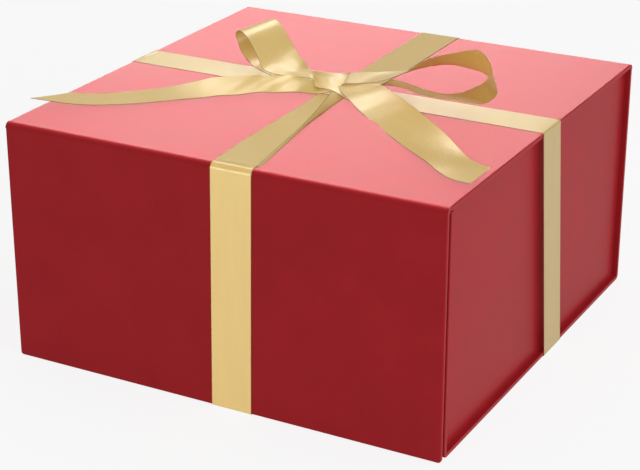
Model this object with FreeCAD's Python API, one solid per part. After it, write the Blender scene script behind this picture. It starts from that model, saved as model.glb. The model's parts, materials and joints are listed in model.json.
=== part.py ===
import FreeCAD, Part
import math
import os

# A fold-flat gift box with a hinged lid and a full-height front flap, tied with a satin ribbon and a bow.
# Millimetres. The box stands on the ribbon under its base, at Z = 0. The flap faces -Y, the lid's hinge
# is at the back, and +X runs to the right along the flap.

# Overall sizes of the closed box without its ribbon
BOX_WIDTH = 240.0
BOX_DEPTH = 239.0
BOX_HEIGHT = 127.4

# Sheets and folds of the panels
BOARD = 2.0             # greyboard
PAPER = 0.2             # wrapping and lining paper
TURN_IN = 15.0          # wrap folded over an edge on to the inside
LINER_MARGIN = 3.0      # bare turn-in left around a lining
FOLD_INSIDE = 0.4       # radius of the lining inside the creased folds
EDGE_ROUND = 0.6        # outside of the wrapped edges
FLAP_CORNER = 1.6       # lower corners of the flap
SHEET_CLEARANCE = 0.1   # between the edges of papers laid side by side

# Places of the walls
FLAP_GAP = 1.6          # from the flap's lining to the front wall
SIDE_RECESS = 3.0       # side walls in from the ends of the base
LID_CLEARANCE = 0.4     # from the walls' tops to the closed lid
SIDE_CLEARANCE = 0.1    # from a side wall's upright edges to the folds beside it
SIDE_FLANGE = 18.0      # side wall's paper stuck down on the base

# Corner tabs and their tape
TAB_WIDTH = 28.0
TAB_THICK = 1.2
TAB_TAPER = 12.0        # free edge shorter than the hinged edge, at each end
TAB_DROP = 6.0          # below the wall's top and above the base
TAPE_WIDTH = 18.0
TAPE_THICK = 0.2
TAPE_MARGIN = 6.0

# Closure: magnets in the flap and steel discs in the front wall
DISC_RADIUS = 6.0
MAGNET_THICK = 1.4
STEEL_THICK = 1.0
DISC_CLEARANCE = 0.15
DISC_INSET = 45.0       # in from the ends of the flap
DISC_HEIGHT = 22.0      # above the flap's lower edge

# Ribbon: its middle lines where it meets the edges, right is +X and back is +Y
RIBBON_WIDTH = 22.0
RIBBON = 0.4
FRONT_LINE_LOW = 7.5    # X at the flap's foot
FRONT_LINE_HIGH = 9.5   # X at the lid's front edge
BACK_LINE = 6.6         # X on the back
CROSS_X = 8.0           # where the ribbons cross on the lid
CROSS_Y = 4.6
PINCH_X = 4.6           # where the lid's front stretch goes under the knot
PINCH = 17.0            # width of the lid's front and back stretches there
RIGHT_LINE_LOW = 18.5   # Y at the foot of the right side
SEAM = 0.2              # between the ends of two stretches

# Bow: places are X, Y and height above the lid, headings are degrees from +X towards +Y;
# a loop's height is that of its ribbon's lower edge at full width
SOFT_CLEARANCE = 0.4    # between the bow's pieces
KNOT_LENGTH = 24.0
KNOT_WIDTH = 18.0
KNOT_HEIGHT = 9.0
NECK_WIDTH = 12.0       # ribbon gathered between the knot and the left loop
NECK_HEIGHT = 6.0
KNOT_END = 0.72         # the knot's right end, as a share of its middle
NECK_MIDDLE = 0.8       # the neck's thickness half way, as a share of that beside the knot
NECK_END_WIDTH = 18.7   # where the left loop's strands part
NECK_END_HEIGHT = 3.6
LOOP_STATIONS = 17
LEFT_LOOP_START = (-30.5, 8.6, 0.1)
LEFT_LOOP = {"heading": 150, "rise": 24, "tilt": 10, "length": 40, "height": 22, "taper": 2.0, "sweep": 0}
LEFT_LOOP_OPENS = 0.3   # share of a half turn at which the loop's two strands part
RIGHT_LOOP_START = (17.0, 0.6, -0.3)
RIGHT_LOOP = {"heading": 18, "rise": 12, "tilt": 38, "length": 69, "height": 30, "taper": 2.0, "sweep": 26}
RIGHT_LOOP_OPENS = 0.16
GATHER = 0.5            # a ribbon's width beside the knot, as a share of its full width
GATHER_LENGTH = 30.0
TAIL_REST = 0.9         # middle of a tail that lies on the lid

V = FreeCAD.Vector

edge = PAPER + BOARD + PAPER
panel = edge + PAPER
fold_radius = panel + FOLD_INSIDE
half = BOX_WIDTH / 2
base_low = RIBBON
base_top = base_low + panel
lid_top = base_low + BOX_HEIGHT
lid_under = lid_top - panel
wall_top = lid_under - LID_CLEARANCE
flap_out = -BOX_DEPTH / 2
flap_low = base_low
back_out = BOX_DEPTH / 2
back_in = back_out - panel
front_out = flap_out + panel + FLAP_GAP
front_in = front_out + panel
fold_top = lid_top - fold_radius
side_out = half - SIDE_RECESS
side_in = side_out - panel


def block(x, y, z):
    """A box between two limits on each axis."""
    size = [high - low for low, high in (x, y, z)]
    return Part.makeBox(size[0], size[1], size[2], V(x[0], y[0], z[0]))


def join(shapes):
    """Several touching shapes as one solid."""
    return shapes[0].multiFuse(shapes[1:]).removeSplitter()


def across(inset):
    """The X limits of a sheet that stops this far inside both ends of the box."""
    return (-half + inset, half - inset)


def sector(x, centre, radii, angles):
    """A slice of tube about an X axis; the angles in degrees run from +Y towards +Z."""
    corners = []
    for radius in radii:
        for share in (0.0, 0.5, 1.0):
            angle = math.radians(angles[0] + share * (angles[1] - angles[0]))
            across_y = radius * math.cos(angle)
            upward = radius * math.sin(angle)
            corners.append(V(x[0], centre[0] + across_y, centre[1] + upward))
    inner = Part.Arc(corners[0], corners[1], corners[2]).toShape()
    outer = Part.Arc(corners[3], corners[4], corners[5]).toShape()
    ends = [Part.makeLine(corners[2], corners[5]), Part.makeLine(corners[3], corners[0])]
    outline = Part.Wire(Part.__sortEdges__([inner, outer] + ends))
    return Part.Face(outline).extrude(V(x[1] - x[0], 0, 0))


def prism(points, thickness):
    """A flat outline made as thick as a vector."""
    return Part.Face(Part.makePolygon(points + points[:1])).extrude(thickness)


def mirrored(shape):
    """The same piece on the left."""
    return shape.mirror(V(0, 0, 0), V(1, 0, 0))


def is_lengthwise(line, axis):
    """Whether an edge is straight and runs along an axis."""
    if not isinstance(line.Curve, Part.Line):
        return False
    return abs(abs(line.tangentAt(line.FirstParameter).dot(axis)) - 1) < 1e-6


# Case: front wall, base and back in one strip

def case_band(depths, x, front_top):
    """The part of the strip between two depths inside its outer face, up to a height on the front wall."""
    near, far = depths
    radii = (fold_radius - far, fold_radius - near)
    fold_up = base_low + fold_radius
    front_fold = (front_out + fold_radius, fold_up)
    back_fold = (back_out - fold_radius, fold_up)
    return join([
        block(x, (front_out + near, front_out + far), (fold_up, front_top)),
        sector(x, front_fold, radii, (180, 270)),
        block(x, (front_fold[0], back_fold[0]), (base_low + near, base_low + far)),
        sector(x, back_fold, radii, (270, 360)),
        block(x, (back_out - far, back_out - near), (fold_up, fold_top)),
    ])


def case_wrap():
    """Outer paper of front wall, base and back, turned in at both ends and over the front wall's top."""
    body = case_band((0, edge), across(0), wall_top)
    rims = [line for line in body.Edges if is_outer_rim(line)]
    body = body.makeFillet(EDGE_ROUND, rims)
    hollow = case_band((PAPER, PAPER + BOARD), across(PAPER), wall_top - PAPER)
    window = case_band((PAPER + BOARD, edge), across(TURN_IN), wall_top - TURN_IN)
    return body.cut(hollow).cut(window)


def is_outer_rim(line):
    """Whether an edge bounds the outer face at an end of the strip."""
    middle = line.valueAt((line.FirstParameter + line.LastParameter) / 2)
    at_end = abs(abs(middle.x) - half) < 1e-6 and abs(line.tangentAt(line.FirstParameter).x) < 1e-6
    fold_up = base_low + fold_radius
    reach_y = max(front_out + fold_radius - middle.y, middle.y - back_out + fold_radius, 0)
    reach_z = max(fold_up - middle.z, 0)
    return at_end and abs(math.hypot(reach_y, reach_z) - fold_radius) < 1e-3


def case_liner():
    """Lining of front wall, base and back, over the turn-ins."""
    inner = TURN_IN + SHEET_CLEARANCE
    filling = case_band((PAPER + BOARD, edge), across(inner), wall_top - inner)
    cover = case_band((edge, panel), across(LINER_MARGIN), wall_top - LINER_MARGIN)
    return join([filling, cover])


def base_board():
    y = (front_out + fold_radius, back_out - fold_radius)
    return block(across(PAPER), y, (base_low + PAPER, base_low + PAPER + BOARD))


def disc_places():
    """X and Z of the closure's discs."""
    height = flap_low + DISC_HEIGHT
    return [(side * (half - DISC_INSET), height) for side in (-1, 1)]


def discs(y, thickness, clearance):
    """Upright discs, or their pockets, from a Y face inwards."""
    radius = DISC_RADIUS + clearance
    found = []
    for place_x, place_z in disc_places():
        found.append(Part.makeCylinder(radius, thickness, V(place_x, y, place_z), V(0, 1, 0)))
    return Part.makeCompound(found)


def front_wall_board():
    y = (front_out + PAPER, front_out + PAPER + BOARD)
    board = block(across(PAPER), y, (base_low + fold_radius, wall_top - PAPER))
    return board.cut(discs(y[0], STEEL_THICK, DISC_CLEARANCE))


def steel_discs():
    return discs(front_out + PAPER, STEEL_THICK, 0)


def back_wall_board():
    y = (back_out - PAPER - BOARD, back_out - PAPER)
    return block(across(PAPER), y, (base_low + fold_radius, fold_top))


# Side walls: the right one, and its mirror image

side_gap = FOLD_INSIDE + SIDE_CLEARANCE
side_y = (front_in + side_gap, back_in - side_gap)
side_z = (base_top, wall_top)


def side_layer(depths, inset, foot):
    """A layer of the side wall between two depths inside its outer face."""
    x = (side_out - depths[1], side_out - depths[0])
    return block(x, (side_y[0] + inset, side_y[1] - inset), (side_z[0] + foot, side_z[1] - inset))


def side_wrap():
    """Paper on the side wall's outside, turned in on three edges and stuck down on the base."""
    body = side_layer((0, edge), 0, 0)
    top_rims = [line for line in body.Edges if line.BoundBox.ZMin > wall_top - EDGE_ROUND / 2]
    body = body.makeFillet(EDGE_ROUND, [line for line in top_rims if is_lengthwise(line, V(0, 1, 0))])
    hollow = side_layer((PAPER, PAPER + BOARD), PAPER, PAPER)
    window = side_layer((PAPER + BOARD, edge), TURN_IN, PAPER)
    flange_x = (side_out - edge - SIDE_FLANGE, side_out - edge)
    flange_y = (side_y[0] + TURN_IN, side_y[1] - TURN_IN)
    flange = block(flange_x, flange_y, (base_top, base_top + PAPER))
    return join([body.cut(hollow).cut(window), flange])


def side_board():
    return side_layer((PAPER, PAPER + BOARD), PAPER, PAPER)


def side_liner():
    inner = TURN_IN + SHEET_CLEARANCE
    filling = side_layer((PAPER + BOARD, edge), inner, PAPER)
    cover = side_layer((edge, panel), LINER_MARGIN, PAPER)
    return join([filling, cover])


def tab(y):
    """Right-hand corner tab whose thickness lies between two Y limits."""
    low = base_top + TAB_DROP
    high = wall_top - TAB_DROP
    free_x = side_in - TAB_WIDTH
    points = [
        V(side_in, y[0], low),
        V(side_in, y[0], high),
        V(free_x, y[0], high - TAB_TAPER),
        V(free_x, y[0], low + TAB_TAPER),
    ]
    return prism(points, V(0, y[1] - y[0], 0))


def tape(y):
    """Adhesive tape between a right-hand tab and the wall behind it."""
    middle = side_in - TAB_WIDTH / 2
    x = (middle - TAPE_WIDTH / 2, middle + TAPE_WIDTH / 2)
    margin = TAB_DROP + TAB_TAPER + TAPE_MARGIN
    return block(x, y, (base_top + margin, wall_top - margin))


front_tape_y = (front_in, front_in + TAPE_THICK)
front_tab_y = (front_tape_y[1], front_tape_y[1] + TAB_THICK)
back_tape_y = (back_in - TAPE_THICK, back_in)
back_tab_y = (back_tape_y[0] - TAB_THICK, back_tape_y[0])


def tab_tapes():
    right = [tape(front_tape_y), tape(back_tape_y)]
    return Part.makeCompound(right + [mirrored(piece) for piece in right])


# Lid

lid_y = (flap_out + fold_radius, back_out - fold_radius)


def rounded_along(body, axis, radius):
    """A block with the edges along one axis rounded."""
    return body.makeFillet(radius, [line for line in body.Edges if is_lengthwise(line, axis)])


def lid_hollow():
    body = block(across(PAPER), lid_y, (lid_top - PAPER - BOARD, lid_top - PAPER))
    return rounded_along(body, V(0, 1, 0), EDGE_ROUND - PAPER)


def lid_wrap():
    """Outer paper of the lid, turned in at its left and right ends."""
    body = rounded_along(block(across(0), lid_y, (lid_top - edge, lid_top)), V(0, 1, 0), EDGE_ROUND)
    window = block(across(TURN_IN), lid_y, (lid_top - edge, lid_top - PAPER - BOARD))
    return body.cut(lid_hollow()).cut(window)


def lid_liner():
    filling = block(across(TURN_IN + SHEET_CLEARANCE), lid_y, (lid_top - edge, lid_top - PAPER - BOARD))
    cover = block(across(LINER_MARGIN), lid_y, (lid_under, lid_top - edge))
    return join([filling, cover])


# Flap

def flap_layer(depths, inset, corner):
    """A layer of the flap between two depths inside its outer face, with rounded lower corners."""
    y = (flap_out + depths[0], flap_out + depths[1])
    body = block(across(inset), y, (flap_low + inset, fold_top))
    feet = [line for line in body.Edges if line.BoundBox.ZMax < fold_top and is_lengthwise(line, V(0, 1, 0))]
    return body.makeFillet(corner, feet)


def rounded_rim(body, radius):
    """The flap's layer with its free edges rounded; the edge at the fold stays square."""
    rims = []
    for line in body.Edges:
        along_fold = line.BoundBox.ZMin > fold_top - radius
        through = is_lengthwise(line, V(0, 1, 0))
        if not along_fold and not through:
            rims.append(line)
    return body.makeFillet(radius, rims)


def flap_hollow():
    body = flap_layer((PAPER, PAPER + BOARD), PAPER, FLAP_CORNER - PAPER)
    return rounded_rim(body, EDGE_ROUND - PAPER)


def flap_wrap():
    """Outer paper of the flap, turned in on its three free edges."""
    body = rounded_rim(flap_layer((0, edge), 0, FLAP_CORNER), EDGE_ROUND)
    window = flap_layer((PAPER + BOARD, edge), TURN_IN, FLAP_CORNER)
    return body.cut(flap_hollow()).cut(window)


magnet_y = flap_out + PAPER + BOARD - MAGNET_THICK


def flap_board():
    return flap_hollow().cut(discs(magnet_y, MAGNET_THICK, DISC_CLEARANCE))


def flap_magnets():
    return discs(magnet_y, MAGNET_THICK, 0)


def flap_liner():
    filling = flap_layer((PAPER + BOARD, edge), TURN_IN + SHEET_CLEARANCE, FLAP_CORNER)
    cover = flap_layer((edge, panel), LINER_MARGIN, FLAP_CORNER)
    return join([filling, cover])


# Folds that act as hinges

back_fold = (back_out - fold_radius, fold_top)
front_fold = (flap_out + fold_radius, fold_top)


def hinge_paper(centre, angles):
    """Outer paper and lining across a fold, closed at both ends by the turn-ins."""
    outer = sector(across(0), centre, (fold_radius - PAPER, fold_radius), angles)
    lining = sector(across(0), centre, (fold_radius - panel, fold_radius - edge), angles)
    ends = []
    for x in ((-half, -half + PAPER), (half - PAPER, half)):
        ends.append(sector(x, centre, (fold_radius - panel, fold_radius), angles))
    return join([outer, lining] + ends)


# Ribbon stretches on the box

ribbon_half = RIBBON_WIDTH / 2


def band_x(line):
    """X limits of a ribbon about its middle line."""
    return (line - ribbon_half, line + ribbon_half)


def slanted(start, end, width, thickness, end_share=1.0):
    """A flat ribbon from one middle point to another, its ends cut along its half-width vector."""
    end_width = width * end_share
    return prism([start - width, start + width, end + end_width, end - end_width], thickness)


def ribbon_front():
    """Down the flap and round its foot."""
    wide = V(ribbon_half, 0, 0)
    low = V(FRONT_LINE_LOW, flap_out, 0)
    high = V(FRONT_LINE_HIGH, flap_out, fold_top)
    face = slanted(low, high, wide, V(0, -RIBBON, 0))
    foot = block(band_x(FRONT_LINE_LOW), (flap_out, flap_out + panel), (0, RIBBON))
    return join([face, foot])


def ribbon_front_bend():
    radii = (fold_radius, fold_radius + RIBBON)
    return sector(band_x(FRONT_LINE_HIGH), front_fold, radii, (90, 180))


def ribbon_lid_front():
    """From the front fold to the crossing, drawn in towards the knot."""
    wide = V(ribbon_half, 0, 0)
    start = V(FRONT_LINE_HIGH, lid_y[0], lid_top)
    end = V(PINCH_X, CROSS_Y - ribbon_half - SEAM, lid_top)
    return slanted(start, end, wide, V(0, 0, RIBBON), PINCH / RIBBON_WIDTH)


def ribbon_lid_back():
    """From the back fold to the crossing, drawn in towards the knot."""
    wide = V(ribbon_half, 0, 0)
    end = V(CROSS_X, CROSS_Y + ribbon_half + SEAM, lid_top)
    return slanted(V(BACK_LINE, lid_y[1], lid_top), end, wide, V(0, 0, RIBBON), PINCH / RIBBON_WIDTH)


def ribbon_lid_side(side):
    """From the crossing to one side and down over the lid's rim."""
    y = (CROSS_Y - ribbon_half, CROSS_Y + ribbon_half)
    inner = CROSS_X + side * SEAM / 2
    outer = side * (half + RIBBON)
    rim = side * half
    top = block(sorted((inner, outer)), y, (lid_top, lid_top + RIBBON))
    leg = block(sorted((rim, outer)), y, (lid_under, lid_top))
    return join([top, leg])


def ribbon_back_bend():
    radii = (fold_radius, fold_radius + RIBBON)
    return sector(band_x(BACK_LINE), back_fold, radii, (0, 90))


def ribbon_back():
    """Down the back and round the fold at its foot."""
    x = band_x(BACK_LINE)
    foot = (back_fold[0], base_low + fold_radius)
    face = block(x, (back_out, back_out + RIBBON), (foot[1], fold_top))
    bend = sector(x, foot, (fold_radius, fold_radius + RIBBON), (270, 360))
    return join([face, bend])


def ribbon_side(side, line_low):
    """From under the lid's rim to the base, across the recess of the side wall."""
    wide = V(0, ribbon_half, 0)
    start = V(side * half, line_low, 0)
    end = V(side * half, CROSS_Y, lid_under - SEAM)
    return slanted(start, end, wide, V(side * RIBBON, 0, 0))


def ribbon_under():
    """The crossed ribbon that the box stands on."""
    front = V(FRONT_LINE_LOW, flap_out + panel + SEAM, 0)
    back = V(BACK_LINE, back_fold[0], 0)
    lengthwise = slanted(front, back, V(ribbon_half, 0, 0), V(0, 0, RIBBON))
    left = V(-half, CROSS_Y, 0)
    right = V(half, RIGHT_LINE_LOW, 0)
    crosswise = slanted(left, right, V(0, ribbon_half, 0), V(0, 0, RIBBON))
    return join([lengthwise, crosswise])


# Bow

knot_low = lid_top + RIBBON + SOFT_CLEARANCE
knot_middle = V(CROSS_X, CROSS_Y, knot_low + KNOT_HEIGHT / 2)


def above_lid(place):
    return V(place[0], place[1], lid_top + place[2])


def turned(degrees, start, end):
    """A direction turned from one unit vector towards another at a right angle to it."""
    return start * math.cos(math.radians(degrees)) + end * math.sin(math.radians(degrees))


def loop_start(place, loop):
    """Where a loop's middle line leaves the knot, high enough for the tilted ribbon's lower edge."""
    return above_lid(place) + V(0, 0, ribbon_half * math.sin(math.radians(loop["tilt"])))


def loop_axes(loop):
    """A loop's way out from the knot, the direction of its width and its upward direction."""
    level = turned(loop["heading"], V(1, 0, 0), V(0, 1, 0))
    out = turned(loop["rise"], level, V(0, 0, 1))
    right = V(level.y, -level.x, 0)
    wide = turned(loop["tilt"], right, right.cross(out))
    return out, wide, wide.cross(out)


def loop_place(start, loop, angle):
    """The middle of the ribbon on a teardrop that starts and ends at the knot's side."""
    out, wide, up = loop_axes(loop)
    share = (1 - math.cos(angle)) / 2
    off = loop["height"] / 2 * math.sin(angle) * math.sin(angle / 2) ** loop["taper"]
    right = V(out.y, -out.x, 0)
    right.normalize()
    return start + out * (loop["length"] * share) + up * off + right * (loop["sweep"] * share ** 2)


def bow_loop(place, loop, opens, narrow):
    """A loop of ribbon, narrow beside the knot by a share of its width."""
    start = loop_start(place, loop)
    wide = loop_axes(loop)[1]
    first = math.pi * opens
    step = 2 * (math.pi - first) / (LOOP_STATIONS - 1)
    stations = []
    for number in range(LOOP_STATIONS):
        angle = first + step * number
        middle = loop_place(start, loop, angle)
        ahead = loop_place(start, loop, angle + step / 10) - loop_place(start, loop, angle - step / 10)
        face = wide.cross(ahead)
        face.normalize()
        gathered = max(1 - (middle - start).Length / GATHER_LENGTH, 0)
        stations.append((middle, wide * (ribbon_half * (1 - narrow * gathered)), face))
    return ribbon_through(stations)


def bow_left_loop():
    return bow_loop(LEFT_LOOP_START, LEFT_LOOP, LEFT_LOOP_OPENS, 0)


def bow_right_loop():
    return bow_loop(RIGHT_LOOP_START, RIGHT_LOOP, RIGHT_LOOP_OPENS, GATHER)


def ellipse(centre, wide, thick):
    return Part.Wire([Part.Ellipse(centre + wide, centre + thick, centre).toShape()])


def bow_knot():
    """The knot and the gathered neck that leads from it to the left loop."""
    out, wide, up = loop_axes(LEFT_LOOP)
    opening = LEFT_LOOP["length"] * (1 - math.cos(math.pi * LEFT_LOOP_OPENS)) / 2
    neck_end = loop_start(LEFT_LOOP_START, LEFT_LOOP) + out * (opening - SOFT_CLEARANCE)
    right = knot_middle + V(KNOT_LENGTH / 2, 0, 0)
    left = knot_middle - V(KNOT_LENGTH / 2, 0, 0)
    knot_wide = V(0, KNOT_WIDTH / 2, 0)
    knot_thick = V(0, 0, KNOT_HEIGHT / 2)
    neck_wide = V(0, NECK_WIDTH / 2, 0)
    neck_thick = V(0, 0, NECK_HEIGHT / 2)
    sections = [
        ellipse(right, knot_wide * KNOT_END, knot_thick * KNOT_END),
        ellipse(knot_middle, knot_wide, knot_thick),
        ellipse(left, neck_wide, neck_thick),
        ellipse((left + neck_end) * 0.5, neck_wide, neck_thick * NECK_MIDDLE),
        ellipse(neck_end, wide * (NECK_END_WIDTH / 2), up * (NECK_END_HEIGHT / 2)),
    ]
    return Part.makeLoft(sections, True, False)


def ribbon_through(stations):
    """A ribbon through stations, each a middle point, a half-width vector and the direction of its face."""
    rails = [[], [], [], []]
    for middle, wide, face in stations:
        thick = face * (RIBBON / 2)
        corners = (middle - wide - thick, middle + wide - thick, middle + wide + thick, middle - wide + thick)
        for rail, corner in zip(rails, corners):
            rail.append(corner)
    lines = []
    for rail in rails:
        curve = Part.BSplineCurve()
        curve.interpolate(Points=rail, Parameters=[float(number) for number in range(len(stations))])
        lines.append(curve.toShape())
    faces = [Part.makeRuledSurface(lines[number - 1], lines[number]) for number in range(4)]
    for end in (0, -1):
        corners = [rail[end] for rail in rails]
        faces.append(Part.Face(Part.makePolygon(corners + corners[:1])))
    shell = Part.makeShell(faces)
    shell.sewShape()
    body = Part.makeSolid(shell)
    return body.reversed() if body.Volume < 0 else body


def bow_tail(places, widths):
    """A tail through places above the lid, with its width at each as a share of the ribbon's."""
    middles = [above_lid(place) for place in places]
    path = Part.BSplineCurve()
    path.interpolate(middles)
    stations = []
    for middle, width in zip(middles, widths):
        ahead = path.tangent(path.parameter(middle))[0]
        wide = V(ahead.y, -ahead.x, 0)
        wide.normalize()
        stations.append((middle, wide * (ribbon_half * width), wide.cross(ahead)))
    return ribbon_through(stations)


def bow_left_tail():
    places = [
        (-8.5, -4.6, 3.6),
        (-31.0, -14.6, 3.2),
        (-51.0, -28.2, 2.6),
        (-77.0, -61.0, 2.0),
        (-97.5, -72.2, TAIL_REST),
        (-117.5, -80.7, 1.4),
        (-126.5, -87.2, 2.4),
    ]
    return bow_tail(places, [GATHER, 1, 1, 1, 0.8, 0.5, 0.1])


def bow_right_tail():
    places = [
        (20.0, -3.9, 5.6),
        (39.5, -20.7, 4.4),
        (67.5, -42.4, 3.0),
        (94.6, -66.2, 1.8),
        (107.7, -74.0, TAIL_REST),
        (117.8, -77.5, TAIL_REST),
    ]
    return bow_tail(places, [0.8, 1, 1, 1, 1, 1])


def pieces():
    """Every node with its solid or solids."""
    return {
        "base_board": base_board(),
        "front_wall_board": front_wall_board(),
        "back_wall_board": back_wall_board(),
        "left_side_board": mirrored(side_board()),
        "right_side_board": side_board(),
        "case_wrap": case_wrap(),
        "case_liner": case_liner(),
        "left_side_wrap": mirrored(side_wrap()),
        "right_side_wrap": side_wrap(),
        "left_side_liner": mirrored(side_liner()),
        "right_side_liner": side_liner(),
        "front_left_tab": mirrored(tab(front_tab_y)),
        "front_right_tab": tab(front_tab_y),
        "back_left_tab": mirrored(tab(back_tab_y)),
        "back_right_tab": tab(back_tab_y),
        "tab_tapes": tab_tapes(),
        "steel_discs": steel_discs(),
        "lid_board": lid_hollow(),
        "lid_wrap": lid_wrap(),
        "lid_liner": lid_liner(),
        "flap_board": flap_board(),
        "flap_wrap": flap_wrap(),
        "flap_liner": flap_liner(),
        "flap_magnets": flap_magnets(),
        "lid_hinge_paper": hinge_paper(back_fold, (0, 90)),
        "flap_hinge_paper": hinge_paper(front_fold, (90, 180)),
        "ribbon_front": ribbon_front(),
        "ribbon_front_bend": ribbon_front_bend(),
        "ribbon_lid_front": ribbon_lid_front(),
        "ribbon_lid_back": ribbon_lid_back(),
        "ribbon_lid_left": ribbon_lid_side(-1),
        "ribbon_lid_right": ribbon_lid_side(1),
        "ribbon_back_bend": ribbon_back_bend(),
        "ribbon_back": ribbon_back(),
        "ribbon_left": ribbon_side(-1, CROSS_Y),
        "ribbon_right": ribbon_side(1, RIGHT_LINE_LOW),
        "ribbon_under": ribbon_under(),
        "bow_knot": bow_knot(),
        "bow_left_loop": bow_left_loop(),
        "bow_right_loop": bow_right_loop(),
        "bow_left_tail": bow_left_tail(),
        "bow_right_tail": bow_right_tail(),
    }


os.makedirs("parts", exist_ok=True)
for node, shape in pieces().items():
    shape.exportStep("parts/" + node + ".step")
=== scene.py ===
import json
import math

import bmesh
import bpy
import numpy as np
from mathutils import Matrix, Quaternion, Vector


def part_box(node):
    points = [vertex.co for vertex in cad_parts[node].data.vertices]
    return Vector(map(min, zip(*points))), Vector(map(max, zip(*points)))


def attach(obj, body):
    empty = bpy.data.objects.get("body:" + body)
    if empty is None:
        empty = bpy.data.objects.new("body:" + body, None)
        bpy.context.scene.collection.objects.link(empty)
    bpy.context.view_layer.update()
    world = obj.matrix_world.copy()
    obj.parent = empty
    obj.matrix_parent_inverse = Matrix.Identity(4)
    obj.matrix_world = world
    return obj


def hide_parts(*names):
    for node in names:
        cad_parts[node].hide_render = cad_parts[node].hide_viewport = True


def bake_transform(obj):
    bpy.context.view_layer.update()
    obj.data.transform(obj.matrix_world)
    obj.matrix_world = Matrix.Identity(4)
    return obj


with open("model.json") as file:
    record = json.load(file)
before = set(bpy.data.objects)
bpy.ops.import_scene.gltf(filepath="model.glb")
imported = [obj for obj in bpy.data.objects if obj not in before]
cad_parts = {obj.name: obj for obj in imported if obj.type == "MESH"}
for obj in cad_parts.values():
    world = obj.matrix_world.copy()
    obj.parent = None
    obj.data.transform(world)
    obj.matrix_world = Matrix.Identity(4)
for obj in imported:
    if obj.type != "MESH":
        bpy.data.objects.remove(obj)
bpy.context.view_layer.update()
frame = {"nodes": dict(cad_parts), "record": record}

# Looks of a red gift box tied with a gold satin ribbon. The frame is the model's, in metres: +Z up,
# the flap faces -Y, the lid's hinge is at +Y. Places on the bow are millimetres, heights above the lid.

nodes = frame["nodes"]
MM = 0.001

# Camera of the photograph
EYE = (425.8 * MM, -804.7 * MM, 431.4 * MM)
AZIMUTH = 28.32          # degrees, as the next two
ELEVATION = 22.88
ROLL = 0.03
LENS = 104.02            # millimetres, as the sensor's width
SENSOR = 36.0

# Colours, as linear light
RED = (0.375, 0.0165, 0.022)
LINING_RED = (0.40, 0.024, 0.032)
GOLD = (0.555, 0.374, 0.094)
GOLD_EDGE = (0.185, 0.112, 0.034)
BOARD_GREY = (0.34, 0.31, 0.27)
TAPE_CREAM = (0.72, 0.68, 0.56)
STEEL_GREY = (0.52, 0.52, 0.53)
NICKEL = (0.68, 0.66, 0.62)
FLOOR_PALE = (0.90, 0.90, 0.90)

# Satin
THREAD = 0.2 * MM        # pitch of the warp
WAVE_PITCH = 0.314       # of the wave texture at scale 1
FILTER_WIDTH = 0.02      # share of a picture point over which a slope is read

# Ribbon
RIBBON_THICK = 0.3 * MM
COLUMNS = 12             # faces across a ribbon
ROW_STEP = 3.0 * MM      # between rows on straight runs
BEND_ROWS = 10           # rows on a bend
CURL_ROWS = 50           # rows on the lid's front stretch
RIGHT_TAIL_ROWS = 80
LEFT_TAIL_ROWS = 90
LOOP_ROWS = 140
EDGE_ROUND = 0.9 * MM    # ribbon over a panel's edge
SEAM = 0.02 * MM         # left between two stretches that meet
LEFT_START = 4.0 * MM    # X where the lid's left stretch leaves the knot
RIGHT_START = 12.0 * MM  # X where the lid's right stretch leaves the knot
RIGHT_SLIP = 2.2 * MM    # how far the tied ribbon has slipped forward at the right rim
BACK_START = (8.0 * MM, 10.0 * MM)  # X and Y where the back stretch leaves the knot
BACK_NARROW = 0.78       # share of its width that the back stretch has at the knot
BACK_REACH = 40.0 * MM   # from the knot to where it has its full width
CURL_BULGE = 0.22        # how far the front stretch swells past its bend, a share of its flat part
RIPPLE_SLANT = 5.0 * MM  # how far a ripple runs ahead at the ribbon's edge
PLEATS = 2.5             # across the gathered neck
PLEAT_DEPTH = 0.5 * MM

# Woven edge of the ribbon: thread loops, each a random share of its size
STITCH_INPUTS = {"Spacing": 0.75 * MM, "Length": 0.62 * MM, "Thickness": 0.44 * MM, "Seed": 7}
SMALLEST_STITCH = 0.85
LARGEST_STITCH = 1.1

# Paper folds
FOLD_RINGS = 18          # rings round a fold, an even number so that none sits at its middle
CREASE = 0.2             # degrees to each side of a fold's middle
SHARP = math.radians(45)  # an edge that turns more than this isn't smoothed

# Light: each softbox has a direction from the box, a distance, a size and a power
WORLD_LEVEL = 0.54
FLOOR_REACH = 6.0
FLOOR_GLOW = 0.85        # share of the floor that shows as plain white
SOFTBOXES = [
    ("upper_light", (-0.41, 0.40, 0.82), 1.7, 0.6, 16.5),
    ("top_light", (0.38, 0.13, 0.91), 1.7, 0.6, 2.5),
    ("right_light", (0.85, -0.35, 0.30), 1.8, 0.9, 10.5),
    ("bow_light", (-0.30, -0.95, 0.06), 1.8, 0.8, 22.5),
    ("lid_light", (-0.437, 0.811, 0.389), 2.5, 1.4, 35.0),
]

# Sizes taken from the frame
lid_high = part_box("lid_wrap")[1]
half = lid_high.x
lid_top = lid_high.z
lid_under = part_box("lid_liner")[0].z
flap_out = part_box("flap_wrap")[0].y
flap_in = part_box("flap_liner")[1].y
back_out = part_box("case_wrap")[1].y
fold_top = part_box("flap_board")[1].z
fold = lid_top - fold_top
panel = lid_top - lid_under
ribbon_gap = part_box("ribbon_under")[1].z / 2
back_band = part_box("ribbon_back")
ribbon_half = (back_band[1].x - back_band[0].x) / 2
back_line = back_band[0].x + ribbon_half
front_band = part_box("ribbon_front_bend")
front_high = (front_band[0].x + front_band[1].x) / 2
front_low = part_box("ribbon_front")[0].x + ribbon_half
cross_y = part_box("ribbon_left")[0].y + ribbon_half
right_foot_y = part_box("ribbon_right")[1].y - ribbon_half
right_line = cross_y - RIGHT_SLIP

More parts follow.
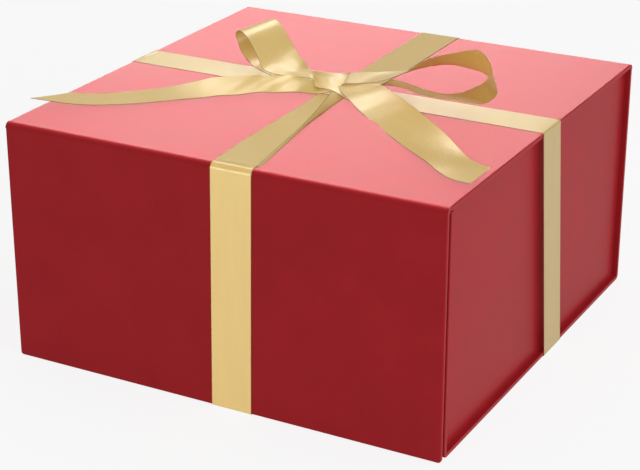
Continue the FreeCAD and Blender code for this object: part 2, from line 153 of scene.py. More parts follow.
# Folds: the bodies they join, the centre of the round in Y and Z, and the angles from one body to the other
LID_FOLD = ("box", "lid", (back_out - fold, fold_top), (0, 90))
FLAP_FOLD = ("flap", "lid", (flap_out + fold, fold_top), (180, 90))


# Node trees

class Wire:
    """A node's output, which adds Math nodes when it is used in an expression."""

    def __init__(self, graph, socket):
        self.graph = graph
        self.socket = socket

    def maths(self, operation, other):
        return self.graph.add("ShaderNodeMath", {"operation": operation}, {0: self, 1: other})

    def __add__(self, other):
        return self.maths("ADD", other)

    __radd__ = __add__

    def __mul__(self, other):
        return self.maths("MULTIPLY", other)

    __rmul__ = __mul__

    def beside(self, name):
        """Another output of the same node."""
        return Wire(self.graph, self.socket.node.outputs[name])


class Graph:
    """A node tree, built node by node."""

    def __init__(self, tree):
        self.tree = tree

    def add(self, kind, settings=None, inputs=None, output=0):
        """Any node: its settings first, then the values or links of its sockets."""
        node = self.tree.nodes.new(kind)
        for name, value in (settings or {}).items():
            setattr(node, name, value)
        for key, value in (inputs or {}).items():
            self.put(node.inputs[key], value)
        return Wire(self, node.outputs[output])

    def put(self, socket, value):
        """Links a socket to a node's output, or sets its value."""
        if isinstance(value, Wire):
            self.tree.links.new(value.socket, socket)
        else:
            socket.default_value = value


class Paint(Graph):
    """A material with one Principled shader."""

    def __init__(self, name, **constants):
        self.material = bpy.data.materials.new(name)
        self.material.use_nodes = True
        super().__init__(self.material.node_tree)
        self.shader = self.tree.nodes["Principled BSDF"]
        self.feed(**constants)

    def feed(self, **values):
        """Sets or links the shader's own sockets."""
        for socket, value in values.items():
            self.put(self.shader.inputs[socket.replace("_", " ")], value)

    def place(self):
        """Object coordinates."""
        return self.add("ShaderNodeTexCoord", output="Object")

    def noise(self, place, scale, detail=3.0, rough=0.55):
        """Soft random grain."""
        grain = {"Vector": place, "Scale": scale, "Detail": detail, "Roughness": rough}
        return self.add("ShaderNodeTexNoise", {}, grain)

    def stretched(self, place, scale):
        """The same place with each axis scaled by its own number."""
        return self.add("ShaderNodeMapping", {}, {"Vector": place, "Scale": scale})

    def varied(self, share, colour, low, high):
        """A colour that runs between a darker and a lighter shade of itself."""
        dark, pale = (tuple(channel * factor for channel in colour) for factor in (low, high))
        shades = {0: share, 6: (*dark, 1.0), 7: (*pale, 1.0)}
        return self.add("ShaderNodeMix", {"data_type": "RGBA"}, shades, 2)

    def ramp(self, value, low, high):
        """0 below one value, 1 above another, smooth between."""
        span = {"Value": value, "From Min": low, "From Max": high}
        return self.add("ShaderNodeMapRange", {"interpolation_type": "SMOOTHSTEP"}, span)

    def bump(self, height, depth):
        """Relief that follows a pattern."""
        sizes = {"Height": height, "Distance": depth, "Filter Width": FILTER_WIDTH}
        return self.add("ShaderNodeBump", {}, sizes)


# Materials

def paper(name, colour, roughness, specular, pearl, fibre_depth):
    """Printed paper: faint mottle, fine fibres and a slightly uneven gloss."""
    paint = Paint(name, Specular_IOR_Level=specular, Metallic=pearl)
    place = paint.place()
    mottle = paint.noise(place, scale=45.0)
    fibres = paint.noise(paint.stretched(place, (1.0, 1.0, 0.6)), scale=1500.0, detail=4.0, rough=0.6)
    tone = 0.6 * mottle + 0.4 * fibres
    paint.feed(
        Base_Color=paint.varied(paint.ramp(tone, low=0.3, high=0.7), colour, low=0.94, high=1.06),
        Roughness=roughness - 0.05 + 0.1 * tone,
        Normal=paint.bump(fibres, depth=fibre_depth),
    )
    return paint.material


def greyboard():
    """Grey recycled board with dark and pale specks."""
    paint = Paint("greyboard", Specular_IOR_Level=0.2)
    place = paint.place()
    layers = paint.noise(paint.stretched(place, (1.0, 1.0, 4.0)), scale=400.0, detail=5.0, rough=0.65)
    specks = paint.noise(place, scale=1800.0, detail=2.0)
    tone = 0.5 * layers + 0.5 * specks
    paint.feed(
        Base_Color=paint.varied(paint.ramp(tone, low=0.35, high=0.65), BOARD_GREY, low=0.75, high=1.2),
        Roughness=0.85 + 0.1 * specks,
        Normal=paint.bump(tone, depth=0.05 * MM),
    )
    return paint.material


def tape():
    """Thin cloudy adhesive tape."""
    paint = Paint("adhesive_tape", Specular_IOR_Level=0.4)
    cloud = paint.noise(paint.place(), scale=300.0)
    paint.feed(
        Base_Color=paint.varied(cloud, TAPE_CREAM, low=0.9, high=1.0),
        Roughness=0.3 + 0.2 * cloud,
    )
    return paint.material


def metal(name, colour, roughness):
    """Stamped metal with fine turned lines."""
    paint = Paint(name, Metallic=1.0)
    lines = paint.noise(paint.stretched(paint.place(), (1.0, 1.0, 30.0)), scale=300.0, detail=4.0)
    paint.feed(
        Base_Color=paint.varied(lines, colour, low=0.85, high=1.0),
        Roughness=roughness + 0.15 * lines,
        Normal=paint.bump(lines, depth=0.01 * MM),
    )
    return paint.material


def satin(name, relief, gloss):
    """Warp-faced satin: threads along the ribbon, each a little brighter or duller than the next."""
    paint = Paint(name, Specular_IOR_Level=gloss, IOR=1.62, Metallic=0.06)
    place = paint.add("ShaderNodeUVMap", {"uv_map": "ribbon"})
    threads = {"Vector": place, "Scale": WAVE_PITCH / THREAD}
    waver = {"Distortion": 0.6, "Detail": 1.0, "Detail Scale": 0.4}
    warp = paint.add("ShaderNodeTexWave", {"bands_direction": "X"}, {**threads, **waver}, "Fac")
    streaks = paint.noise(paint.stretched(place, (2500.0, 40.0, 1.0)), scale=1.0, detail=2.0)
    slubs = paint.noise(paint.stretched(place, (150.0, 18.0, 1.0)), scale=1.0)
    tone = 0.4 * streaks + 0.6 * slubs
    paint.feed(
        Base_Color=paint.varied(paint.ramp(tone, low=0.3, high=0.7), GOLD, low=0.97, high=1.03),
        Roughness=0.26 + 0.06 * tone,
        Normal=paint.bump(warp, depth=relief),
    )
    return paint.material


def edge_thread():
    """Thread of the ribbon's woven edges."""
    paint = Paint("edge_thread", Specular_IOR_Level=0.5, Sheen_Weight=0.2)
    twist = paint.noise(paint.place(), scale=4000.0, detail=2.0)
    paint.feed(
        Base_Color=paint.varied(twist, GOLD_EDGE, low=0.85, high=1.1),
        Roughness=0.4 + 0.15 * twist,
        Normal=paint.bump(twist, depth=0.03 * MM),
    )
    return paint.material


def dress_nodes():
    """Materials for the model's own pieces, by slot."""
    finishes = {
        "red_paper": red_paper,
        "lining_paper": lining,
        "greyboard": greyboard(),
        "adhesive_tape": tape(),
        "steel": metal("steel", STEEL_GREY, roughness=0.35),
        "magnet": metal("nickel_plate", NICKEL, roughness=0.2),
        "satin_ribbon": satin_cloth,
    }
    for row in frame["record"]["subparts"]:
        mesh = nodes[row["node"]].data
        mesh.materials.clear()
        mesh.materials.append(finishes[row["material_slot"]])


# Lines and rows of points

def unit(vector):
    """The same direction with a length of 1."""
    return vector / np.linalg.norm(vector, axis=-1, keepdims=True)


def above_lid(points):
    """Metres in the frame, from millimetres with heights above the lid."""
    return np.array(points, float) * MM + np.array([0, 0, lid_top])


def straight(start, end):
    """Points after the start, up to the end."""
    count = max(1, round(np.linalg.norm(end - start) / ROW_STEP))
    return [start + (end - start) * number / count for number in range(1, count + 1)]


def rounded_path(corners, radii):
    """Points along straight runs whose corners are rounded."""
    corners = [np.array(corner, float) for corner in corners]
    points = [corners[0]]
    for before, corner, after, radius in zip(corners, corners[1:], corners[2:], radii):
        arrive = unit(corner - before)
        leave = unit(after - corner)
        turn = math.acos(np.clip(arrive @ leave, -1, 1))
        begin = corner - arrive * radius * math.tan(turn / 2)
        points += straight(points[-1], begin)
        inward = unit(leave - arrive * math.cos(turn))
        for angle in np.linspace(0, turn, BEND_ROWS):
            points.append(begin + radius * (arrive * math.sin(angle) + inward * (1 - math.cos(angle))))
    points += straight(points[-1], corners[-1])
    return np.array(points)


def spline(points, rows):
    """A smooth line through points, as many rows as asked, evenly spread over the points."""
    points = np.array(points, float)
    padded = np.vstack([2 * points[0] - points[1], points, 2 * points[-1] - points[-2]])
    place = np.linspace(0, len(points) - 1, rows)
    first = np.minimum(place.astype(int), len(points) - 2)
    share = (place - first)[:, None]
    before, start, end, after = (padded[first + number] for number in range(4))
    slope = (end - before) * share
    bend = (2 * before - 5 * start + 4 * end - after) * share ** 2
    twist = (3 * start - 3 * end + after - before) * share ** 3
    return 0.5 * (2 * start + slope + bend + twist)


def pulled(share, first, pull, last):
    """A bend from a first place to a last one, pulled toward a third."""
    rest = 1 - share
    return rest ** 2 * first + 2 * share * rest * pull + share ** 2 * last


def flat_rows(middle, wide):
    """Rows of points across a ribbon, from its middle line and half-width vectors."""
    across = np.linspace(-1, 1, COLUMNS + 1)
    return middle[:, None, :] + across[None, :, None] * np.broadcast_to(wide, middle.shape)[:, None, :]


def arched_rows(left, crest, right):
    """Rows across a ribbon that passes through its left edge, its crest and its right edge."""
    share = np.linspace(0, 1, COLUMNS + 1)[None, :, None]
    pull = 2 * crest - (left + right) / 2
    return pulled(share, left[:, None], pull[:, None], right[:, None])


def run(rows):
    """Length along a ribbon's middle at each row."""
    steps = np.linalg.norm(np.diff(rows[:, rows.shape[1] // 2], axis=0), axis=1)
    return np.concatenate([[0], np.cumsum(steps)])


def face_up(rows):
    """Unit vectors square to a ribbon's face."""
    return unit(np.cross(np.gradient(rows, axis=0), np.gradient(rows, axis=1)))


# Ribbon cloth with its woven edges

def linked(name, mesh):
    """A new object in the scene."""
    thing = bpy.data.objects.new(name, mesh)
    bpy.context.scene.collection.objects.link(thing)
    return thing


def evaluated(thing):
    """The object's mesh with its modifiers applied; the object is removed."""
    graph = bpy.context.evaluated_depsgraph_get()
    mesh = bpy.data.meshes.new_from_object(thing.evaluated_get(graph), depsgraph=graph)
    bpy.data.objects.remove(thing)
    return mesh


def grid_mesh(name, rows):
    """A sheet of faces through rows of points, with the ribbon's own width and length as its UV map."""
    count, width = rows.shape[:2]
    faces = []
    for row in range(count - 1):
        for column in range(width - 1):
            corner = row * width + column
            faces.append((corner, corner + 1, corner + width + 1, corner + width))
    mesh = bpy.data.meshes.new(name)
    mesh.from_pydata(rows.reshape(-1, 3).tolist(), [], faces)
    along = run(rows)
    across = np.linspace(-ribbon_half, ribbon_half, width)
    layer = mesh.uv_layers.new(name="ribbon")
    for loop in mesh.loops:
        row, column = divmod(loop.vertex_index, width)
        layer.data[loop.index].uv = (across[column], along[row])
    mesh.polygons.foreach_set("use_smooth", [True] * len(mesh.polygons))
    return mesh


def thickened(mesh):
    """The sheet as a thin closed cloth."""
    thing = linked("cloth", mesh)
    solidify = thing.modifiers.new("thickness", "SOLIDIFY")
    solidify.thickness = RIBBON_THICK
    solidify.offset = 0.0
    cloth = evaluated(thing)
    cloth.set_sharp_from_angle(angle=SHARP)
    return cloth


def stitch_tree():
    """Small thread loops in a row along lines."""
    tree = bpy.data.node_groups.new("edge_stitches", "GeometryNodeTree")
    kinds = {"Lines": "Geometry", "Spacing": "Float", "Length": "Float", "Thickness": "Float", "Seed": "Int"}
    for name, kind in kinds.items():
        tree.interface.new_socket(name, in_out="INPUT", socket_type="NodeSocket" + kind)
    tree.interface.new_socket("Stitches", in_out="OUTPUT", socket_type="NodeSocketGeometry")
    graph = Graph(tree)
    lines = graph.add("NodeGroupInput", output="Lines")
    curve = graph.add("GeometryNodeMeshToCurve", {}, {"Mesh": lines})
    spaced = {"Curve": curve, "Length": lines.beside("Spacing")}
    points = graph.add("GeometryNodeCurveToPoints", {"mode": "LENGTH"}, spaced)
    bead = graph.add("GeometryNodeMeshUVSphere", {}, {"Segments": 6, "Rings": 4, "Radius": 0.5})
    thick = lines.beside("Thickness")
    size = graph.add("ShaderNodeCombineXYZ", {}, {"X": thick, "Y": thick, "Z": lines.beside("Length")})
    spread = {2: SMALLEST_STITCH, 3: LARGEST_STITCH, "Seed": lines.beside("Seed")}
    share = graph.add("FunctionNodeRandomValue", {"data_type": "FLOAT"}, spread, 1)
    scale = graph.add("ShaderNodeVectorMath", {"operation": "SCALE"}, {0: size, "Scale": share})
    placed = {"Points": points, "Rotation": points.beside("Rotation"), "Instance": bead, "Scale": scale}
    loops = graph.add("GeometryNodeInstanceOnPoints", {}, placed)
    real = graph.add("GeometryNodeRealizeInstances", {}, {"Geometry": loops})
    finish = graph.add("GeometryNodeSetMaterial", {}, {"Geometry": real, "Material": stitch_thread})
    graph.put(tree.nodes.new("NodeGroupOutput").inputs["Stitches"], finish)
    return tree


def stitches(rows):
    """The woven edges of a ribbon, along the first and last column of its rows."""
    lines = bpy.data.meshes.new("edges")
    count = len(rows)
    points = np.vstack([rows[:, 0], rows[:, -1]])
    links = [(number, number + 1) for number in range(2 * count - 1) if number != count - 1]
    lines.from_pydata(points.tolist(), links, [])
    thing = linked("edges", lines)
    modifier = thing.modifiers.new("stitches", "NODES")
    modifier.node_group = stitch_nodes
    for socket in stitch_nodes.interface.items_tree:
        if socket.name in STITCH_INPUTS:
            modifier[socket.identifier] = STITCH_INPUTS[socket.name]
    mesh = evaluated(thing)
    mesh.polygons.foreach_set("use_smooth", [True] * len(mesh.polygons))
    return mesh


def joined(name, parts):
    """One object from several meshes, each with its own material."""
    mesh = bpy.data.meshes.new(name)
    shape = bmesh.new()
    for number, (part, material) in enumerate(parts):
        part.polygons.foreach_set("material_index", [number] * len(part.polygons))
        shape.from_mesh(part)
        mesh.materials.append(material)
        bpy.data.meshes.remove(part)
    shape.to_mesh(mesh)
    shape.free()
    return linked(name, mesh)


def ribbon(name, rows, stands_for, weave=None):
    """A piece of satin ribbon with woven edges."""
    cloth = thickened(grid_mesh(name, rows))
    piece = joined(name, [(cloth, weave or satin_cloth), (stitches(rows), stitch_thread)])
    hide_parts(*stands_for)
    return piece


# Folds

def on_fold(centre, angle, radius):
    """Y and Z of a place on a fold's round."""
    turn = math.radians(angle)
    return centre[0] + radius * math.cos(turn), centre[1] + radius * math.sin(turn)


def crease(piece, body_a, body_b, centre, angles):
    """Bakes the piece's place into its mesh; the ends of the fold's middle line are worked out but not used.
    """
    middle = sum(angles) / 2
    step = math.copysign(CREASE, angles[1] - angles[0])
    start, end = ((0, *on_fold(centre, angle, fold)) for angle in (middle - step, middle + step))
    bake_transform(piece)


def fold_paper(name, node, joined_at):
    """Outer paper, lining and turn-ins across a fold, as one sleeve."""
    centre, angles = joined_at[2:]
    inside = fold - panel
    corners = ((-half, fold), (half, fold), (half, inside), (-half, inside))
    lined_side = 2
    shape = bmesh.new()
    rings = []
    for angle in np.linspace(*angles, FOLD_RINGS):
        rings.append([shape.verts.new((x, *on_fold(centre, angle, radius))) for x, radius in corners])
    for first, second in zip(rings, rings[1:]):
        for side in range(len(corners)):
            after = (side + 1) % len(corners)
            face = shape.faces.new((first[side], first[after], second[after], second[side]))
            face.material_index = int(side == lined_side)
            face.smooth = True
    shape.faces.new(rings[0])
    shape.faces.new(rings[-1])
    bmesh.ops.recalc_face_normals(shape, faces=shape.faces)
    mesh = bpy.data.meshes.new(name)
    shape.to_mesh(mesh)
    shape.free()
    mesh.materials.append(red_paper)
    mesh.materials.append(lining)
    mesh.set_sharp_from_angle(angle=SHARP)
    piece = linked(name, mesh)
    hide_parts(node)
    crease(piece, *joined_at)
    return piece


# Ribbon round the box

def front_ribbon():
    """Up the flap, over the front fold and along the lid, where its right side curls up into the knot."""
    out = flap_out - ribbon_gap
    top = lid_top + ribbon_gap
    corners = [
        (front_low, flap_in, ribbon_gap),
        (front_low, out, ribbon_gap),
        (front_high, out, top),
        (front_high, out + 2 * fold, top),
    ]
    wrapped = rounded_path(corners, [EDGE_ROUND, fold + ribbon_gap])
    rows = np.concatenate([flat_rows(wrapped, (ribbon_half, 0, 0)), curling_rows()])
    stands_for = ["ribbon_front", "ribbon_front_bend", "ribbon_lid_front"]
    piece = ribbon("front_ribbon", rows, stands_for)
    crease(piece, *FLAP_FOLD)
    return piece


def curling_rows():
    """The lid's front stretch: flat on the left, its right side rising in a curl beside the knot."""
    left = [(-1.5, -114, 0.2), (-3.0, -90, 0.2), (-3.2, -60, 0.2), (-3.5, -30, 0.3), (-4.0, -8, 0.6)]
    bend = [(19.5, -114, 0.2), (16.0, -88, 0.2), (12.0, -56, 0.2), (11.0, -32, 0.3), (9.5, -8, 0.4)]
    edge = [(20.5, -114, 0.2), (17.0, -88, 0.6), (13.0, -54, 1.8), (9.7, -30.4, 4.0), (4.0, -9.0, 3.2)]
    lines = [spline(line, CURL_ROWS) for line in (left, bend, edge)]
    return above_lid([curled(*places) for places in zip(*lines)])


def curled(left, bend, edge):
    """Points across a ribbon that lies flat from its left edge to a bend and curls up to its right edge."""
    flat = COLUMNS // 2
    points = [left + (bend - left) * number / flat for number in range(flat)]
    outside = bend + (bend - left) * CURL_BULGE
    for share in np.linspace(0, 1, COLUMNS + 1 - flat):
        points.append(pulled(share, bend, outside, edge))
    return np.array(points)


def back_ribbon():
    """From the knot over the back fold, down the back and under the base."""
    out = back_out + ribbon_gap
    top = lid_top + ribbon_gap
    under = cross_y + 2 * ribbon_half
    corners = [
        (*BACK_START, top),
        (back_line, out, top),
        (back_line, out, ribbon_gap),
        (back_line, under, ribbon_gap),
    ]
    path = rounded_path(corners, [fold + ribbon_gap] * 2)
    distance = np.linalg.norm(path - path[0], axis=1)
    widening = np.clip(distance / BACK_REACH, 0, 1)
    width = ribbon_half * (BACK_NARROW + (1 - BACK_NARROW) * widening)
    rows = flat_rows(path, np.stack([width, 0 * width, 0 * width], axis=1))
    stands_for = ["ribbon_lid_back", "ribbon_back_bend", "ribbon_back", "ribbon_under"]
    piece = ribbon("back_ribbon", rows, stands_for)
    crease(piece, *LID_FOLD)
    return piece


def side_ribbon():
    """Down the left side, under the base and up the right side."""
    out = half + ribbon_gap
    high = lid_under - SEAM
    corners = [
        (-out, cross_y, high),
        (-out, cross_y, ribbon_gap),
        (out, right_foot_y, ribbon_gap),
        (out, right_line, high),
    ]
    rows = flat_rows(rounded_path(corners, [EDGE_ROUND] * 2), (0, ribbon_half, 0))
    stands_for = ["ribbon_left", "ribbon_right", "ribbon_under"]
    piece = ribbon("side_ribbon", rows, stands_for)
    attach(piece, "box")
    return piece


def under_ribbon():
    """The short stretch under the base's front."""
    start = np.array([front_low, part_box("ribbon_under")[0].y - SEAM, ribbon_gap])
    end = np.array([front_low, cross_y - ribbon_half, ribbon_gap])
    rows = flat_rows(np.array(straight(start, end)), (ribbon_half, 0, 0))
    piece = ribbon("under_ribbon", rows, ["ribbon_under"])
    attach(piece, "box")
    return piece


def lid_side_ribbon(name, side, start, line):
    """From the knot along a line to the left (-1) or right (1) and down over the lid's rim."""
    out = side * (half + ribbon_gap)
    top = lid_top + ribbon_gap
    corners = [(start, line, top), (out, line, top), (out, line, lid_under)]
    rows = flat_rows(rounded_path(corners, [EDGE_ROUND]), (0, side * ribbon_half, 0))
    piece = ribbon(name, rows, ["ribbon_" + name])
    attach(piece, "lid")
    return piece


# Bow

def tail_rows(stations, rows):
    """A tail through places, each with a roll in degrees and a share of the ribbon's width."""
    values = spline(stations, rows)
    middle = above_lid(values[:, :3])
    ahead = unit(np.gradient(middle, axis=0))
    right = unit(np.cross(ahead, (0, 0, 1)))
    up = np.cross(right, ahead)
    roll = np.radians(values[:, 3:4])
    wide = right * np.cos(roll) + up * np.sin(roll)
    return flat_rows(middle, wide * ribbon_half * values[:, 4:5])


def stopped(line, last):
    """A column of points that ends after a number of its rows, with as many points as before."""
    rows = np.arange(len(line))
    kept = np.linspace(0, last, len(line))
    return np.stack([np.interp(kept, rows, line[:, axis]) for axis in range(3)], axis=1)


def cut_square(rows, limit):
    """A tail cut straight: each column stops at the same X."""
    lines = rows.transpose(1, 0, 2)
    ends = [np.interp(limit, line[:, 0], np.arange(len(line))) for line in lines]
    return np.stack([stopped(*pair) for pair in zip(lines, ends)], axis=1)


def cut_slant(rows, share):
    """A tail cut on a slant: its left edge keeps every row and its right edge a share of them."""
    lines = rows.transpose(1, 0, 2)
    ends = np.linspace(1, share, len(lines)) * (len(rows) - 1)
    return np.stack([stopped(*pair) for pair in zip(lines, ends)], axis=1)


def rippled(rows, pitch, height, reach):
    """Soft slanting waves along a ribbon that die away from its knot end."""
    along = run(rows)[:, None]
    across = np.linspace(-1, 1, rows.shape[1])[None, :]
    phase = 2 * math.pi * (along + RIPPLE_SLANT * across) / pitch
    wave = height * np.sin(phase) * np.clip(1 - along / reach, 0, 1)
    return rows + wave[:, :, None] * face_up(rows)


def right_tail():
    """Forward to the right over the lid, cut straight."""
    stations = [
        (4.0, 7.0, 3.0, -8, 0.6),
        (10.0, 2.5, 6.0, -10, 0.75),
        (19.5, -6.0, 6.0, -13, 0.88),
        (42.0, -21.0, 2.6, -14.5, 1),
        (71.5, -46.4, 2.5, -10.5, 1),
        (94.5, -66.6, 1.8, 3.5, 1),
        (110.0, -78.3, 2.2, -2.5, 1),
        (123.0, -84.5, 4.0, -3.5, 1),
    ]
    rows = cut_square(tail_rows(stations, RIGHT_TAIL_ROWS), limit=119.3 * MM)
    rows = rippled(rows, pitch=17 * MM, height=0.35 * MM, reach=60 * MM)
    piece = ribbon("right_tail", rows, ["bow_right_tail"])
    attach(piece, "lid")
    return piece


def left_tail():
    """Turned over, so that it shows the ribbon's flatter reverse, and cut on a slant."""
    stations = [
        (1.0, 0.0, 1.2, 0, 0.5),
        (-8.0, -3.6, 1.8, 4, 0.65),
        (-18.0, -8.4, 3.6, 8, 0.88),
        (-31.0, -14.2, 3.5, 4.5, 1),
        (-51.0, -28.7, 3.1, 7, 1),
        (-68.4, -44.7, 1.4, -0.5, 1),
        (-85.8, -62.4, 1.3, -2, 1),
        (-105.0, -75.5, 1.5, -4, 1),
        (-126.0, -87.7, 4.7, -6, 1),
    ]
    rows = cut_slant(tail_rows(stations, LEFT_TAIL_ROWS), share=0.91)
    rows = rippled(rows, pitch=19 * MM, height=0.5 * MM, reach=90 * MM)
    piece = ribbon("left_tail", rows, ["bow_left_tail"], satin_back)
    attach(piece, "lid")
    return piece


def station_rows(stations):
    """Rows of a ribbon through stations: near edge, far edge and, where it arches, the crest between."""
    near = [station[0] for station in stations]
    far = [station[1] for station in stations]
    crest = [station[2] if len(station) > 2 else np.add(*station) / 2 for station in stations]
    lines = [spline(line, LOOP_ROWS) for line in (near, crest, far)]
    return arched_rows(*(above_lid(line) for line in lines))


def pleated(rows, first, last):
    """Soft pleats along the ribbon between two shares of its rows."""
    share = np.linspace(0, 1, len(rows))[:, None, None]
    across = np.linspace(0, 1, rows.shape[1])[None, :, None]
    middle = np.clip((share - first) / (last - first), 0, 1)
    swell = np.sin(math.pi * middle) ** 2 * np.sin(2 * math.pi * PLEATS * across)
    return rows + face_up(rows) * swell * PLEAT_DEPTH


def right_loop():
    """Out of the knot over the back stretch, round, and back under itself behind the right tail."""
    stations = [
        ((7.0, -3.0, 3.0), (4.5, 7.5, 5.0)),
        ((8.0, -4.0, 6.5), (6.0, 9.0, 8.5)),
        ((18.0, -3.0, 8.0), (18.0, 13.0, 9.5)),
        ((30.5, -5.5, 12.0), (32.5, 14.5, 12.0)),
        ((44.0, -7.5, 19.0), (46.5, 14.5, 16.5)),
        ((57.0, -7.5, 28.0), (60.0, 13.0, 20.0)),
        ((71.0, -6.0, 33.0), (72.5, 11.5, 20.0)),
        ((83.0, -5.0, 35.5), (80.5, 10.0, 19.0)),
        ((91.0, -8.0, 29.5), (86.5, 8.0, 15.5)),
        ((90.5, -12.5, 23.5), (89.0, 6.0, 12.0)),
        ((85.5, -15.0, 20.0), (87.0, 4.0, 8.5)),
        ((78.5, -16.0, 16.5), (81.0, 3.0, 5.5)),
        ((65.5, -15.0, 14.0), (67.0, 4.5, 4.5)),
        ((42.0, -12.0, 16.0), (47.0, 6.0, 4.0)),
        ((29.0, 1.0, 8.5), (37.0, 14.0, 3.0)),
        ((20.0, 9.5, 4.0), (27.0, 19.0, 2.0)),
        ((12.0, 8.0, 2.5), (16.0, 17.0, 1.5)),
    ]
    piece = ribbon("right_loop", station_rows(stations), ["bow_right_loop"])
    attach(piece, "lid")
    return piece


def left_loop():
    """Out of the knot as a gathered neck, round the standing loop, and back under the neck."""
    stations = [
        ((13.0, -10.5, 1.0), (13.0, 14.0, 2.0), (12.5, 2.0, 4.5)),
        ((8.0, -8.8, 2.4), (6.0, 13.0, 5.0), (7.5, 2.5, 6.4)),
        ((2.5, -7.2, 3.2), (-0.5, 13.5, 6.0), (2.0, 3.0, 7.4)),
        ((-2.5, -6.4, 3.2), (-6.0, 12.0, 5.3), (-4.0, 3.0, 7.0)),
        ((-8.0, -4.8, 2.8), (-13.0, 12.5, 4.4), (-10.0, 4.5, 6.4)),
        ((-14.5, 2.3, 4.0), (-21.0, 14.2, 3.8), (-17.5, 8.5, 5.4)),
        ((-27.5, -2.5, 5.0), (-25.5, 16.0, 7.5)),
        ((-40.5, -0.5, 5.5), (-30.5, 18.5, 10.0)),
        ((-47.5, 4.5, 10.0), (-36.0, 22.5, 13.0)),
        ((-54.5, 8.5, 16.5), (-42.5, 26.5, 18.0)),
        ((-60.5, 12.0, 19.5), (-49.0, 30.5, 22.0)),
        ((-65.5, 15.0, 19.5), (-54.5, 33.5, 23.0)),
        ((-68.5, 17.0, 16.5), (-56.5, 35.5, 20.0)),
        ((-67.5, 17.5, 12.0), (-55.0, 35.5, 15.5)),
        ((-63.5, 15.5, 7.0), (-51.0, 33.5, 11.0)),
        ((-55.5, 11.5, 3.0), (-44.5, 30.0, 7.5)),
        ((-46.0, 6.5, 2.0), (-35.0, 25.0, 5.5)),
        ((-35.5, 3.0, 1.2), (-24.5, 19.5, 3.0)),
    ]
    rows = pleated(station_rows(stations), first=0.05, last=0.45)
    piece = ribbon("left_loop", rows, ["bow_left_loop", "bow_knot"])
    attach(piece, "lid")
    return piece


# Studio

def pale_floor():
    """A wide square floor."""
    far = FLOOR_REACH
    mesh = bpy.data.meshes.new("floor")
    mesh.from_pydata([(-far, -far, 0), (far, -far, 0), (far, far, 0), (-far, far, 0)], [], [(0, 1, 2, 3)])
    mesh.materials.append(floor_finish())
    floor = linked("floor", mesh)
    return floor


def floor_finish():
    """Pale floor that shows as white and keeps the box's shadow."""
    paint = Paint("floor", Base_Color=(*FLOOR_PALE, 1), Roughness=0.9, Specular_IOR_Level=0.0)
    camera_ray = paint.add("ShaderNodeLightPath", output="Is Camera Ray")
    seen = camera_ray.maths("MAXIMUM", camera_ray.beside("Is Glossy Ray"))
    seen = seen.maths("MAXIMUM", camera_ray.beside("Is Transmission Ray"))
    lit = Wire(paint, paint.shader.outputs[0])
    glow = paint.add("ShaderNodeEmission")
    surface = paint.add("ShaderNodeMixShader", {}, {0: seen * FLOOR_GLOW, 1: lit, 2: glow})
    paint.put(paint.tree.nodes["Material Output"].inputs["Surface"], surface)
    return paint.material


def white_surroundings():
    """Even white light from all round."""
    world = bpy.data.worlds.new("surroundings")
    bpy.context.scene.world = world
    world.use_nodes = True
    backdrop = world.node_tree.nodes["Background"]
    backdrop.inputs["Color"].default_value = (1, 1, 1, 1)
    backdrop.inputs["Strength"].default_value = WORLD_LEVEL


def softbox(name, toward, distance, size, power):
    """A square soft light in a direction from the box."""
    light = bpy.data.lights.new(name, "AREA")
    light.size = size
    light.energy = power
    lamp = bpy.data.objects.new(name, light)
    away = Vector(toward).normalized()
    lamp.location = away * distance + Vector((0, 0, lid_top))
    lamp.rotation_euler = away.to_track_quat("Z", "Y").to_euler()
    bpy.context.scene.collection.objects.link(lamp)
    return lamp


def group(name, pieces):
    """A named group of pieces."""
    collection = bpy.data.collections.new(name)
    for piece in pieces:
        collection.objects.link(piece)
    return collection


def flagged(lamp, lit, shading):
    """Keeps a lamp's light to some pieces, and lets only some shade it."""
    lamp.light_linking.receiver_collection = group(lamp.name + "_lit", lit)
    lamp.light_linking.blocker_collection = group(lamp.name + "_shading", shading)
    lamp.data.cycles.use_multiple_importance_sampling = False


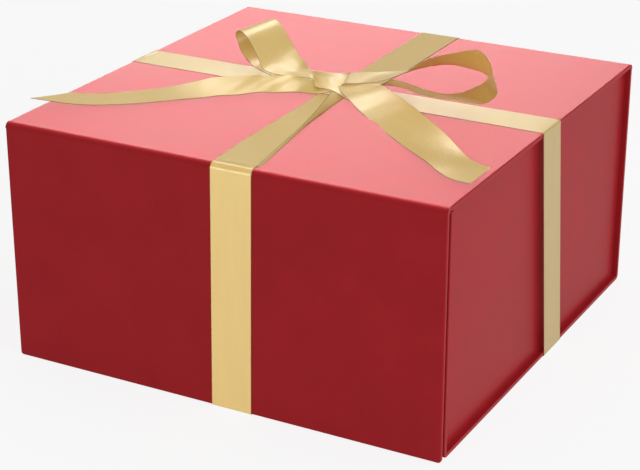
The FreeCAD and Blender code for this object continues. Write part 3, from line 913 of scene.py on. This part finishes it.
def studio(ribbons, folds):
    """Pale floor, white surroundings and large soft lights, most of them kept to chosen pieces."""
    bpy.context.scene.view_settings.view_transform = "Standard"
    floor = pale_floor()
    white_surroundings()
    lamps = {row[0]: softbox(*row) for row in SOFTBOXES}
    panels = [nodes[name] for name in nodes if "ribbon" not in name and "bow" not in name] + folds
    flagged(lamps["bow_light"], ribbons, panels + ribbons)
    # The photograph's ribbons throw no shadow on the lid, so the panels alone shade these three.
    flagged(lamps["upper_light"], panels + ribbons, panels)
    flagged(lamps["right_light"], panels + ribbons + [floor], panels)
    flagged(lamps["lid_light"], panels, panels)


def camera():
    """The photograph's place and angle of view."""
    data = bpy.data.cameras.new("camera")
    data.sensor_width = SENSOR
    data.lens = LENS
    eye = bpy.data.objects.new("camera", data)
    eye.location = EYE
    turns = (((0, 0, 1), AZIMUTH), ((1, 0, 0), 90 - ELEVATION), ((0, 0, 1), ROLL))
    turn = Quaternion()
    for axis, angle in turns:
        turn = turn @ Quaternion(axis, math.radians(angle))
    eye.rotation_euler = turn.to_euler()
    bpy.context.scene.collection.objects.link(eye)
    bpy.context.scene.camera = eye


# The whole scene

red_paper = paper("red_paper", RED, roughness=0.42, specular=0.06, pearl=0.165, fibre_depth=0.004 * MM)
lining = paper("lining_paper", LINING_RED, roughness=0.75, specular=0.2, pearl=0.0, fibre_depth=0.012 * MM)
satin_cloth = satin("satin_ribbon", relief=0.025 * MM, gloss=1.0)
satin_back = satin("satin_ribbon_back", relief=0.013 * MM, gloss=0.5)
stitch_thread = edge_thread()
stitch_nodes = stitch_tree()

dress_nodes()
ribbon_pieces = [
    front_ribbon(),
    back_ribbon(),
    side_ribbon(),
    under_ribbon(),
    lid_side_ribbon("lid_left", -1, LEFT_START, cross_y),
    lid_side_ribbon("lid_right", 1, RIGHT_START, right_line),
    right_tail(),
    left_tail(),
    right_loop(),
    left_loop(),
]
fold_pieces = [
    fold_paper("lid_fold", "lid_hinge_paper", LID_FOLD),
    fold_paper("flap_fold", "flap_hinge_paper", FLAP_FOLD),
]
studio(ribbon_pieces, fold_pieces)
camera()
